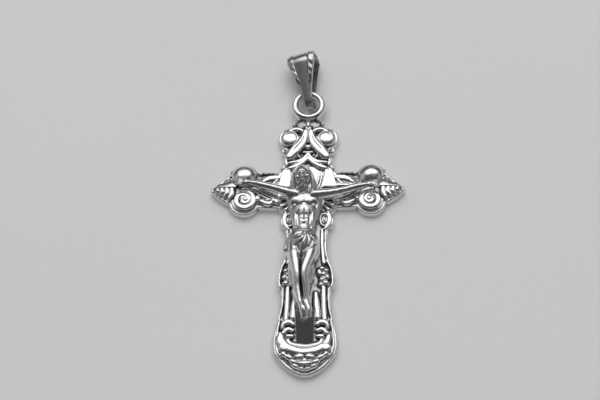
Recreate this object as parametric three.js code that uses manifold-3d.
import * as THREE from 'three'
import { mergeVertices } from 'three/addons/utils/BufferGeometryUtils.js'
import Module from 'manifold-3d'

// A silver crucifix pendant lying on its back.
// +X runs along the cross arm, +Y towards the bail, +Z out of the front; the back is z = 0.

const wasm = await Module()
wasm.setup()

// Driving dimensions, in millimetres
const plateThickness = 0.9
const rimWidth = 0.35                 // plate left showing round the ornament
const layerGap = 0.03                 // air between pieces that touch
const seamGap = 0.05                  // air between neighbouring ornaments
const shortestEdge = 0.008            // edges left shorter than this by a join are closed up
const reliefFloor = plateThickness + layerGap
const reliefGround = 1.2              // flat ground of the ornament
const reliefTop = 1.7                 // highest point of the ornament
const corpusBed = reliefTop + 0.04    // flat back of the figure

const armTip = 11.0                   // half the span of the cross arm
const footTip = -20.25                // lowest point of the shell at the foot
const crownSeam = 5.4                 // the ornaments meet along these lines
const crossingSeam = -0.4
const footSeam = -13.8
const armSeam = 3.2
const terminalSeam = 5.6

const ringRadius = 1.55               // centre line of the ring's wire
const ringWire = 0.42
const ringY = 13.35
const ringZ = 1.4

const pinRadius = 0.25
const pinClearance = 0.04
const pinTop = 2.1
const leftHand = [-7.3, 3.05]
const rightHand = [7.4, 2.5]
const feetPin = [0, -13.75]

const footrestTopY = -13.1
const footrestBottomY = -16.9
const footrestHalfWidth = 1.1
const footrestTopHeight = 2.28        // the footrest's face slopes down from the feet
const footrestBottomHeight = 1.3

const bailThickness = 0.3
const bailTipBelow = 1.0              // centre of the lower bend, below the ring's wire
const bailTopAbove = 3.7              // centre of the upper bend, above the ring's wire
const bailTipBend = 0.98              // radii of the strip's centre line at its two bends
const bailTopBend = 1.32
const bailTipWidth = 0.7
const bailTopWidth = 3.3
const bailFlare = 1.35                // how late the strip widens on its way up
const bailLip = 0.1                   // raised border of the upper half
const bailTwist = -15                 // degrees: how the bail lies on the table
const bailLean = 9.5
const bailLift = 9

const degrees = Math.PI / 180

// ---- solids: a three.js geometry becomes a solid for joining and cutting, and comes back

function solidOf(geometry) {
  const plain = geometry.clone()
  plain.deleteAttribute('normal')
  plain.deleteAttribute('uv')
  const merged = mergeVertices(plain, 1e-5)
  const vertProperties = new Float32Array(merged.attributes.position.array)
  const triVerts = new Uint32Array(merged.index.array)
  return new wasm.Manifold(new wasm.Mesh({ numProp: 3, vertProperties, triVerts }))
}

function geometryOf(solid) {
  const mesh = solid.setTolerance(shortestEdge).getMesh()
  const geometry = new THREE.BufferGeometry()
  geometry.setAttribute('position', new THREE.BufferAttribute(mesh.vertProperties, 3))
  geometry.setIndex(new THREE.BufferAttribute(mesh.triVerts, 1))
  geometry.computeVertexNormals()
  return geometry
}

function join(solids) {
  return solids.reduce((whole, next) => whole.add(next))
}

function box(lowX, highX, lowY, highY, lowZ, highZ) {
  const geometry = new THREE.BoxGeometry(highX - lowX, highY - lowY, highZ - lowZ)
  geometry.translate((lowX + highX) / 2, (lowY + highY) / 2, (lowZ + highZ) / 2)
  return solidOf(geometry)
}

function slab(points, lowZ, highZ) {
  const shape = new THREE.Shape(points.map(([x, y]) => new THREE.Vector2(x, y)))
  const geometry = new THREE.ExtrudeGeometry(shape, { depth: highZ - lowZ, bevelEnabled: false })
  geometry.translate(0, 0, lowZ)
  return solidOf(geometry)
}

function disc(x, y, radius, lowZ, highZ, sides = 22) {
  const geometry = new THREE.CylinderGeometry(radius, radius, highZ - lowZ, sides)
  geometry.rotateX(Math.PI / 2)
  geometry.translate(x, y, (lowZ + highZ) / 2)
  return solidOf(geometry)
}

function ellipsoid(centre, radii, sides = 14, turn = 0) {
  const geometry = new THREE.SphereGeometry(1, sides, Math.round(sides * 0.6))
  geometry.rotateX(Math.PI / 2)
  geometry.scale(...radii)
  geometry.rotateZ(turn * degrees)
  geometry.translate(...centre)
  return solidOf(geometry)
}

// A dome standing on the plate: its base circle is at the ornament's floor
function dome(x, y, radius, height = reliefTop, sides = 14) {
  return ellipsoid([x, y, reliefFloor], [radius, radius, height - reliefFloor], sides)
}

function bead(x, y, radius) {
  return ellipsoid([x, y, reliefGround], [radius, radius, Math.min(radius, reliefTop - reliefGround)], 6)
}

// A round-backed moulding along a smooth line through the points given
function moulding(points, width, z = reliefGround + 0.1, steps = 7) {
  const path = new THREE.CatmullRomCurve3(points.map(([x, y]) => new THREE.Vector3(x, y, z)))
  const section = new THREE.Shape()
  section.absarc(0, 0, width / 2, 0, Math.PI * 2)
  const settings = { steps, curveSegments: 2, bevelEnabled: false, extrudePath: path }
  return solidOf(new THREE.ExtrudeGeometry(section, settings))
}

// A limb between two joints: a tapered barrel with round ends
function limb(from, to, fromRadius, toRadius, sides = 8) {
  const start = new THREE.Vector3(...from)
  const end = new THREE.Vector3(...to)
  const length = start.distanceTo(end)
  const profile = []
  for (let step = 0; step <= 3; step++) {
    const angle = (step / 3) * Math.PI / 2
    profile.push(new THREE.Vector2(fromRadius * Math.sin(angle), -fromRadius * Math.cos(angle)))
  }
  for (let step = 3; step >= 0; step--) {
    const angle = (step / 3) * Math.PI / 2
    profile.push(new THREE.Vector2(toRadius * Math.sin(angle), length + toRadius * Math.cos(angle)))
  }
  profile[0].x = 0
  profile[profile.length - 1].x = 0
  const geometry = new THREE.LatheGeometry(profile, sides)
  const along = end.clone().sub(start).normalize()
  const turn = new THREE.Quaternion().setFromUnitVectors(new THREE.Vector3(0, 1, 0), along)
  geometry.applyQuaternion(turn)
  geometry.translate(...from)
  return solidOf(geometry)
}

// ---- the cross in plan: one side's shapes, drawn for either side, grown or shrunk by an offset

function mirrored(points) {
  const other = points.map(([x, y]) => [-x, y]).reverse()
  return [...other, ...points].filter((point, index, all) => {
    const next = all[(index + 1) % all.length]
    return Math.hypot(point[0] - next[0], point[1] - next[1]) > 1e-6
  })
}

function footprint(grow, lowZ, highZ) {
  const g = grow
  const solids = [
    // upper limb with the shoulders below the ring
    slab(mirrored([[0, 9.6], [2.5 + g, 8.6], [2.4 + g, 7.3], [2.7 + g, 6.7], [2.65 + g, 5.0]]), lowZ, highZ),
    slab(mirrored([[0, 12.05 + g], [1.3 + g, 12.05 + g], [2.0 + g, 10.5], [2.0 + g, 9.4]]), lowZ, highZ),
    // crossing and cross arm
    slab(mirrored([[0, 5.9], [2.6, 5.9 + g], [3.3, 4.75 + g], [6.0, 4.75 + g], [6.0, 0.35 - g],
      [3.1, 0.25 - g], [2.6 + g, -0.3], [0, -0.3]]), lowZ, highZ),
    // lower limb and foot
    slab(mirrored([[0, 0], [2.4 + g, 0], [2.4 + g, -2.6], [2.25 + g, -4.0], [2.4 + g, -6.2], [2.9 + g, -7.4],
      [3.1 + g, -8.5], [3.05 + g, -9.5], [2.7 + g, -10.0], [2.75 + g, -12.0], [3.05 + g, -14.0],
      [3.45 + g, -15.8], [3.5 + g, -16.8], [3.2 + g, -17.9], [2.6 + g, -18.7 - g],
      [1.5 + g, -19.75 - g], [0.6 + g, footTip + 0.05 - g], [0, footTip - g]]), lowZ, highZ),
  ]
  for (const side of [-1, 1]) {
    solids.push(disc(side * 2.05, 9.35, 1.35 + g, lowZ, highZ))
    solids.push(disc(side * 2.6, 7.75, 0.42 + g, lowZ, highZ, 14))
    solids.push(disc(side * 2.05, -1.4, 0.95 + g, lowZ, highZ, 20))
    solids.push(disc(side * 7.15, 4.25, 1.62 + g, lowZ, highZ))
    solids.push(disc(side * 7.1, 1.15, 1.72 + g, lowZ, highZ))
    const tip = [[5.8, 4.6], [8.6, 5.0 + g], [9.2 + g, 4.3 + g], [10.1 + g, 3.4 + g], [armTip + g, 2.6],
      [10.1 + g, 1.7 - g], [9.4 + g, 1.2 - g], [8.7, 0.8 - g], [5.8, 1.0]]
    const points = tip.map(([x, y]) => [side * x, y])
    solids.push(slab(side > 0 ? points.reverse() : points, lowZ, highZ))
  }
  return join(solids)
}

function pinAt([x, y], radius, lowZ, highZ) {
  return disc(x, y, radius, lowZ, highZ, 12)
}

function pinHoles() {
  return join([leftHand, rightHand, feetPin].map(
    (place) => pinAt(place, pinRadius + pinClearance, -1, pinTop + 0.1)))
}

// ---- the cross itself

function backPlate() {
  return footprint(0, 0, plateThickness).subtract(pinHoles())
}

function footrestSolid(offset) {
  const halfTop = footrestHalfWidth + offset
  const halfBottom = footrestHalfWidth - 0.15 + offset
  const top = footrestTopY + offset
  const bottom = footrestBottomY - offset
  const points = [[-halfTop, top], [-halfBottom, bottom], [halfBottom, bottom], [halfTop, top]]
  const block = slab(points, reliefFloor - (offset > 0 ? 1 : 0), footrestTopHeight + 1)
  const slope = (footrestTopHeight - footrestBottomHeight) / (footrestTopY - footrestBottomY)
  const down = new THREE.Vector3(0, slope, -1).normalize()
  const edge = new THREE.Vector3(0, footrestTopY, footrestTopHeight + offset)
  return block.trimByPlane(down.toArray(), down.dot(edge))
}

// One applied ornament: the ground between its seams, with its raised work, clear of its neighbours
function ornament(region, raised) {
  const window = box(...region, reliefFloor, reliefTop)
  const ground = footprint(-rimWidth, reliefFloor, reliefGround).intersect(window)
  return join([ground, ...raised]).intersect(window).subtract(footrestSolid(seamGap)).subtract(pinHoles())
}

function crownCartouche() {
  const raised = []
  for (const side of [-1, 1]) {
    raised.push(dome(side * 2.05, 9.3, 0.9))
    raised.push(bead(side * 2.3, 7.7, 0.3))
    const band = [[side * 0.3, 9.9], [side * 0.7, 8.6], [side * 1.6, 7.5], [side * 2.0, 6.5]]
    raised.push(moulding(band, 0.55))
    raised.push(moulding([[side * 0.9, 7.9], [side * 1.2, 7.2], [side * 0.9, 6.7]], 0.4, undefined, 6))
    raised.push(moulding([[0, 6.9], [side * 0.8, 6.1], [side * 2.0, 5.8]], 0.4, undefined, 6))
  }
  raised.push(bead(0, 8.7, 0.22))
  raised.push(bead(0, 7.85, 0.32))
  return ornament([-4, 4, crownSeam + seamGap / 2, 10.75], raised)
}

function crossingPanel() {
  const raised = []
  for (const side of [-1, 1]) {
    const facet = new THREE.ConeGeometry(1.1, 0.8, 4)
    facet.rotateX(Math.PI / 2)
    facet.translate(side * 2.1, 3.9, reliefGround + 0.2)
    raised.push(solidOf(facet))
    raised.push(moulding([[side * 2.2, 1.5], [side * 2.5, 0.6], [side * 2.1, -0.3]], 0.4, undefined, 6))
    raised.push(bead(side * 2.75, 1.1, 0.35))
  }
  const edge = armSeam - seamGap / 2
  return ornament([-edge, edge, crossingSeam + seamGap / 2, crownSeam - seamGap / 2], raised)
}

function armScroll(side) {
  const low = armSeam + seamGap / 2
  const high = terminalSeam - seamGap / 2
  const raised = [
    moulding([[side * 3.2, 3.9], [side * 4.3, 3.9], [side * 5.3, 3.5]], 0.5, undefined, 6),
    moulding([[side * 3.2, 1.5], [side * 4.4, 2.1], [side * 5.7, 2.2]], 0.4, undefined, 6),
    ellipsoid([side * 4.45, 1.05, reliefGround], [0.6, 0.5, 0.4], 10),
    bead(side * 3.55, 1.1, 0.3),
    bead(side * 5.3, 1.3, 0.35),
  ]
  const region = side > 0 ? [low, high] : [-high, -low]
  return ornament([...region, -1, 6], raised)
}

function terminal(side) {
  const low = terminalSeam + seamGap / 2
  const region = side > 0 ? [low, armTip] : [-armTip, -low]
  const volute = new THREE.TorusGeometry(0.95, 0.24, 6, 16)
  volute.translate(side * 7.1, 1.15, reliefGround + 0.15)
  const ribs = [8.5, 9.1, 9.7].map((x, index) => moulding(
    [[side * x, 2.4], [side * (x + 0.12), 1.9], [side * (x - 0.1), 1.25 + 0.2 * index]], 0.32, undefined, 5))
  return ornament([...region, -1, 7], [
    dome(side * 7.15, 4.25, 1.2),
    solidOf(volute),
    dome(side * 7.0, 1.2, 0.45, reliefTop, 12),
    moulding([[side * 8.6, 2.9], [side * 9.5, 2.75], [side * 10.4, 2.6]], 0.3, undefined, 5),
    ...ribs,
  ])
}

function shaftMount() {
  const raised = []
  for (const side of [-1, 1]) {
    raised.push(ellipsoid([side * 2.0, -1.5, reliefGround], [0.6, 0.95, 0.45], 12))
    raised.push(moulding([[side * 1.7, -2.8], [side * 1.75, -4.8], [side * 1.75, -6.9]], 0.35, undefined, 8))
    raised.push(moulding([[side * 2.1, -10.0], [side * 2.05, -12.0], [side * 2.2, -13.7]], 0.42, undefined, 6))
    raised.push(moulding([[side * 1.6, -9.4], [side * 1.5, -11.5], [side * 1.5, -13.7]], 0.3, undefined, 6))
    raised.push(bead(side * 2.1, -7.7, 0.34))
    raised.push(bead(side * 2.35, -8.4, 0.34))
    raised.push(bead(side * 2.3, -9.1, 0.34))
  }
  return ornament([-4, 4, footSeam + seamGap / 2, crossingSeam - seamGap / 2], raised)
}

function footShell() {
  const collar = [[-2.3, -15.8], [-1.9, -16.9], [0, -17.5], [1.9, -16.9], [2.3, -15.8]]
  const raised = [moulding(collar, 0.65, undefined, 14)]
  for (const side of [-1, 1]) {
    raised.push(ellipsoid([side * 2.0, -14.3, reliefGround], [0.65, 0.35, 0.42], 10))
    raised.push(ellipsoid([side * 2.0, -15.2, reliefGround], [0.6, 0.35, 0.42], 10))
    raised.push(dome(side * 2.35, -17.2, 0.7, 1.6, 12))
  }
  for (const [count, radius] of [[5, 1.35], [7, 2.3]]) {
    for (let index = 0; index < count; index++) {
      const angle = (index / (count - 1) - 0.5) * (count === 5 ? 100 : 110) * degrees
      raised.push(bead(radius * Math.sin(angle), -17.3 - radius * Math.cos(angle), 0.36))
    }
  }
  return ornament([-4, 4, -21, footSeam - seamGap / 2], raised)
}

// ---- the figure, with its back cut flat where it lies on the cross

function corpus() {
  const headTilt = 14
  const solids = [
    // head and hair, leaning towards -X
    ellipsoid([-0.55, 3.2, 2.95], [0.8, 1.15, 0.85], 12, headTilt),
    ellipsoid([-0.5, 3.1, 2.6], [1.15, 1.45, 0.85], 12, headTilt),
    limb([-0.45, 2.4, 2.5], [-0.3, 1.2, 2.45], 0.55, 0.6),
    // trunk
    ellipsoid([-0.2, 0.4, 2.3], [1.7, 1.75, 0.85], 14),
    ellipsoid([-0.2, -1.7, 2.3], [1.25, 2.0, 0.8], 14),
    ellipsoid([-0.25, -3.6, 2.3], [1.35, 1.3, 0.85], 14),
    // arms
    limb([-1.3, 1.3, 2.4], [-3.9, 2.2, 2.25], 0.62, 0.4),
    limb([-3.9, 2.2, 2.25], [-6.3, 2.85, 2.15], 0.42, 0.26),
    ellipsoid([-7.25, 3.05, 2.1], [0.85, 0.42, 0.3], 8, -10),
    limb([0.9, 1.2, 2.4], [4.1, 1.7, 2.25], 0.62, 0.4),
    limb([4.1, 1.7, 2.25], [6.4, 2.35, 2.15], 0.42, 0.26),
    ellipsoid([7.35, 2.5, 2.1], [0.85, 0.42, 0.3], 8, 10),
    // loincloth
    ellipsoid([-0.3, -5.0, 2.4], [1.5, 1.7, 0.95], 14),
    ellipsoid([-1.2, -5.3, 2.3], [0.7, 1.3, 0.7], 10),
    // legs
    limb([-0.95, -5.4, 2.45], [-1.0, -8.7, 2.75], 0.85, 0.62),
    limb([0.3, -5.4, 2.4], [-0.25, -8.6, 2.7], 0.85, 0.62),
    limb([-1.0, -8.7, 2.75], [-0.35, -12.3, 2.35], 0.6, 0.36),
    limb([-0.25, -8.6, 2.7], [0.2, -12.2, 2.3], 0.6, 0.36),
    limb([-0.35, -12.3, 2.4], [-0.15, -14.1, 2.4], 0.4, 0.42),
    limb([0.2, -12.2, 2.35], [0.15, -14.2, 2.35], 0.4, 0.42),
  ]
  const bench = box(-12, 12, -21, 21, -1, corpusBed)
  return join(solids).subtract(bench).subtract(footrestSolid(layerGap)).subtract(pinHoles())
}

function suspensionRing() {
  const ring = new THREE.TorusGeometry(ringRadius, ringWire, 8, 24)
  ring.translate(0, ringY, ringZ)
  const post = box(-0.25, 0.25, 10.8, ringY - ringRadius, reliefFloor, reliefTop)
  return join([solidOf(ring), post])
}

// ---- the bail: one strip bent round into a long drop, wide at the top, its ends joined at the tip

function bailStations() {
  const span = bailTipBelow + bailTopAbove
  const tangent = Math.asin((bailTopBend - bailTipBend) / span)
  const stations = []
  const addArc = (centreY, radius, from, to, steps) => {
    for (let step = 0; step <= steps; step++) {
      const angle = from + (to - from) * (step / steps)
      const out = [Math.sin(angle), -Math.cos(angle)]
      stations.push({ y: centreY + radius * out[0], z: -radius * out[1], out: [out[0], -out[1]] })
    }
  }
  // front leg upwards, over the top, down the back leg and round the tip
  addArc(bailTopAbove, bailTopBend, tangent * -1, Math.PI + tangent, 14)
  addArc(-bailTipBelow, bailTipBend, Math.PI + tangent, Math.PI * 2 - tangent, 10)
  return stations
}

function bailSolid() {
  const stations = []
  const bare = bailStations()
  bare.forEach((station, index) => {
    stations.push(station)
    const next = bare[(index + 1) % bare.length]
    const reach = Math.hypot(next.y - station.y, next.z - station.z)
    const extra = reach > 2 ? 5 : 0
    for (let step = 1; step <= extra; step++) {
      const t = step / (extra + 1)
      stations.push({
        y: station.y + (next.y - station.y) * t,
        z: station.z + (next.z - station.z) * t,
        out: station.out,
      })
    }
  })
  const lowest = -bailTipBelow - bailTipBend
  const highest = bailTopAbove
  const positions = []
  for (const { y, z, out } of stations) {
    const rise = THREE.MathUtils.clamp((y - lowest) / (highest - lowest), 0, 1)
    const half = (bailTipWidth + (bailTopWidth - bailTipWidth) * rise ** bailFlare) / 2
    const lip = bailLip * THREE.MathUtils.smoothstep(rise, 0.55, 0.7)
    const border = half * 0.3
    const inner = -bailThickness / 2
    const outer = bailThickness / 2
    const section = [
      [-half, inner], [half, inner], [half, outer + lip], [half - border, outer + lip],
      [half - border - 0.05, outer], [border + 0.05 - half, outer], [border - half, outer + lip],
      [-half, outer + lip],
    ]
    for (const [x, height] of section) {
      positions.push(x, y + out[0] * height, z + out[1] * height)
    }
  }
  const sides = 8
  const indices = []
  for (let row = 0; row < stations.length; row++) {
    const here = row * sides
    const there = ((row + 1) % stations.length) * sides
    for (let side = 0; side < sides; side++) {
      const next = (side + 1) % sides
      indices.push(here + side, there + next, here + next)
      indices.push(here + side, there + side, there + next)
    }
  }
  const geometry = new THREE.BufferGeometry()
  geometry.setAttribute('position', new THREE.Float32BufferAttribute(positions, 3))
  geometry.setIndex(indices)
  geometry.computeVertexNormals()
  return geometry
}

// ---- the assembly

const pendant = new THREE.Group()

function silver(color, roughness) {
  return new THREE.MeshStandardMaterial({ color, roughness, metalness: 1 })
}

function addPiece(name, geometry, material) {
  const mesh = new THREE.Mesh(geometry, material)
  mesh.name = name
  pendant.add(mesh)
  return mesh
}

const pieces = {
  back_plate: [backPlate, 0xc9cacc, 0.3],
  crown_cartouche: [crownCartouche, 0xe6e6e2, 0.25],
  crossing_panel: [crossingPanel, 0xe6e6e2, 0.25],
  left_arm_scroll: [() => armScroll(-1), 0xe6e6e2, 0.25],
  right_arm_scroll: [() => armScroll(1), 0xe6e6e2, 0.25],
  left_terminal: [() => terminal(-1), 0xe6e6e2, 0.25],
  right_terminal: [() => terminal(1), 0xe6e6e2, 0.25],
  shaft_mount: [shaftMount, 0xe6e6e2, 0.25],
  foot_shell: [footShell, 0xe6e6e2, 0.25],
  footrest: [() => footrestSolid(0).subtract(pinHoles()), 0xb9babd, 0.12],
  corpus: [corpus, 0xbdbdc4, 0.15],
  left_hand_pin: [() => pinAt(leftHand, pinRadius, 0.05, pinTop), 0xc9cacc, 0.3],
  right_hand_pin: [() => pinAt(rightHand, pinRadius, 0.05, pinTop), 0xc9cacc, 0.3],
  feet_pin: [() => pinAt(feetPin, pinRadius, 0.05, pinTop), 0xc9cacc, 0.3],
  suspension_ring: [suspensionRing, 0xe3e3e0, 0.15],
}

for (const [name, [make, color, roughness]] of Object.entries(pieces)) {
  addPiece(name, geometryOf(make()), silver(color, roughness))
}

const bail = addPiece('bail', bailSolid(), silver(0xcfcfcd, 0.15))
bail.position.set(0, ringY + ringRadius, ringZ)
bail.rotation.set(bailLift * degrees, bailTwist * degrees, bailLean * degrees, 'ZXY')

export default pendant
